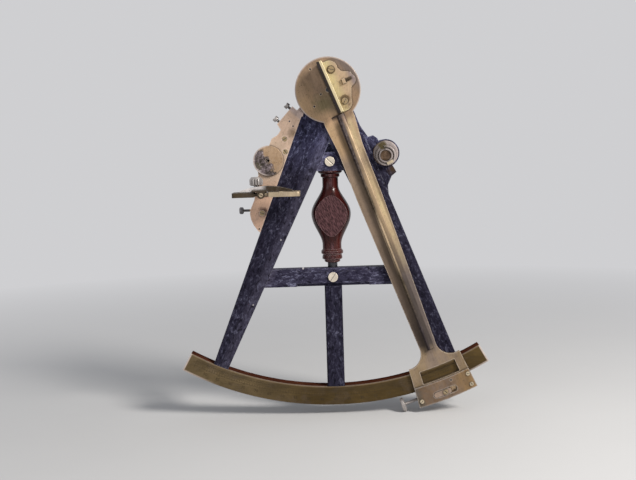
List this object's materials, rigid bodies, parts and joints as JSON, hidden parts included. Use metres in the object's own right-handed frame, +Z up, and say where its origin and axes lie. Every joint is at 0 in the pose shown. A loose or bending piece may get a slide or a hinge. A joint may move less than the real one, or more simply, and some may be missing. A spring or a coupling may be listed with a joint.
{
  "type": "octant",
  "caption": "Ebony-framed octant with a brass arc, ridged index arm with vernier and tangent screw, index mirror, horizon turntable, folding shades, sight socket and turned grip.",
  "frame": {"origin": "on the ground under the middle of the bounding box, with the octant upright as in the picture", "axes": "+X to the right across the front face, +Y from the front face to the back, +Z up towards the index pivot"},
  "size_m": [0.3152, 0.0824, 0.3655],
  "materials": {
    "ebony": "dark, close-grained wood with a worn polish",
    "mahogany": "brown oiled wood",
    "rosewood": "dark red-brown polished wood",
    "brass": "aged brass, satin",
    "pale_brass": "pale brass, rubbed bright",
    "dull_brass": "dark, tarnished brass",
    "steel": "darkened steel",
    "mirror": "silvered glass",
    "green_glass": "dark green glass",
    "red_glass": "deep red glass"
  },
  "bodies": {
    "frame": {"apex_block": "ebony", "left_limb": "ebony", "right_limb": "ebony", "left_ear": "ebony", "right_ear": "ebony", "upper_crossbar": "ebony", "lower_crossbar": "ebony", "centre_post": "ebony", "arc_limb": "mahogany", "scale_arc": "brass", "scale_arc_screws": "brass", "pivot_bush": "brass", "pivot_back_plate": "brass", "back_plate_screws": "brass", "handle_grip": "rosewood", "handle_rod": "steel", "handle_collar": "steel", "handle_screws": "pale_brass", "rest_feet": "ebony", "horizon_plate": "pale_brass", "horizon_plate_screws": "brass", "edge_screws": "brass", "lever_bracket": "brass", "shade_bracket": "brass", "shade_bracket_screws": "brass", "shade_stud": "steel", "shade_spring": "brass", "shade_pin": "pale_brass", "sight_socket": "pale_brass", "sight_socket_nut": "brass", "sight_lug_screw": "brass"},
    "index_arm": {"index_arm": "brass", "arm_ridge": "brass", "index_axle": "steel", "axle_nut": "brass", "mirror_foot": "pale_brass", "mirror_foot_screws": "brass", "mirror_back_plate": "brass", "index_mirror": "mirror", "mirror_clip": "dull_brass", "mirror_adjust_screw": "brass", "vernier": "pale_brass", "tangent_cover": "pale_brass", "tangent_cover_screws": "brass", "tangent_lugs": "brass"},
    "clamp_slider": {"clamp_slider": "brass", "clamp_jaw": "brass", "slot_screw": "pale_brass"},
    "tangent_screw": {"tangent_screw": "steel"},
    "clamp_screw": {"clamp_screw": "brass"},
    "horizon_mount": {"horizon_disc": "brass", "horizon_axle": "steel", "horizon_lever": "brass", "lever_nut": "steel"},
    "lever_screw": {"lever_screw": "steel"},
    "shade_left": {"shade_frame_left": "dull_brass", "shade_glass_left": "green_glass"},
    "shade_right": {"shade_frame_right": "pale_brass", "shade_glass_right": "red_glass"},
    "shade_nut": {"shade_nut": "pale_brass"}
  },
  "joints": [
    {"name": "index_swing", "type": "hinge", "parent": "frame", "child": "index_arm", "pos_m": [0, 0.0052, 0.33256], "axis": [0, 1, 0], "range_deg": [-2, 43]},
    {"name": "tangent_turn", "type": "hinge", "parent": "index_arm", "child": "tangent_screw", "pos_m": [0.11161, 0.0097, 0.02254], "axis": [0.9409, 0, 0.3387], "range_deg": [-2701, 1]},
    {"name": "clamp_slide", "type": "slide", "parent": "index_arm", "child": "clamp_slider", "axis": [0.9409, 0, 0.3387], "range_m": [0, 0.006]},
    {"name": "clamp_turn", "type": "hinge", "parent": "clamp_slider", "child": "clamp_screw", "pos_m": [0.10586, 0.03, 0.03853], "axis": [0, 1, 0], "range_deg": [0, 540]},
    {"name": "lever_turn", "type": "hinge", "parent": "frame", "child": "lever_screw", "pos_m": [-0.08, 0.0271, 0.21266], "axis": [1, 0, 0], "range_deg": [-1008, 1008]},
    {"name": "horizon_turn", "type": "hinge", "parent": "frame", "child": "horizon_mount", "pos_m": [-0.06204, 0.0052, 0.26366], "axis": [0, 1, 0], "range_deg": [-2.2, 2.2]},
    {"name": "shade_left_fold", "type": "hinge", "parent": "frame", "child": "shade_left", "pos_m": [-0.06831, -0.0233, 0.23106], "axis": [0, -1, 0], "range_deg": [0, 65]},
    {"name": "shade_right_fold", "type": "hinge", "parent": "frame", "child": "shade_right", "pos_m": [-0.06831, -0.0233, 0.23106], "axis": [0, 1, 0], "range_deg": [0, 65]},
    {"name": "shade_nut_turn", "type": "hinge", "parent": "frame", "child": "shade_nut", "pos_m": [-0.07331, -0.0233, 0.24456], "axis": [0, 0, 1], "continuous": true}
  ],
  "couplings": [
    {"joint": "tangent_turn", "follows": "clamp_slide", "rad_per_m": -7854},
    {"joint": "lever_turn", "follows": "horizon_turn", "ratio": 457.77}
  ]
}
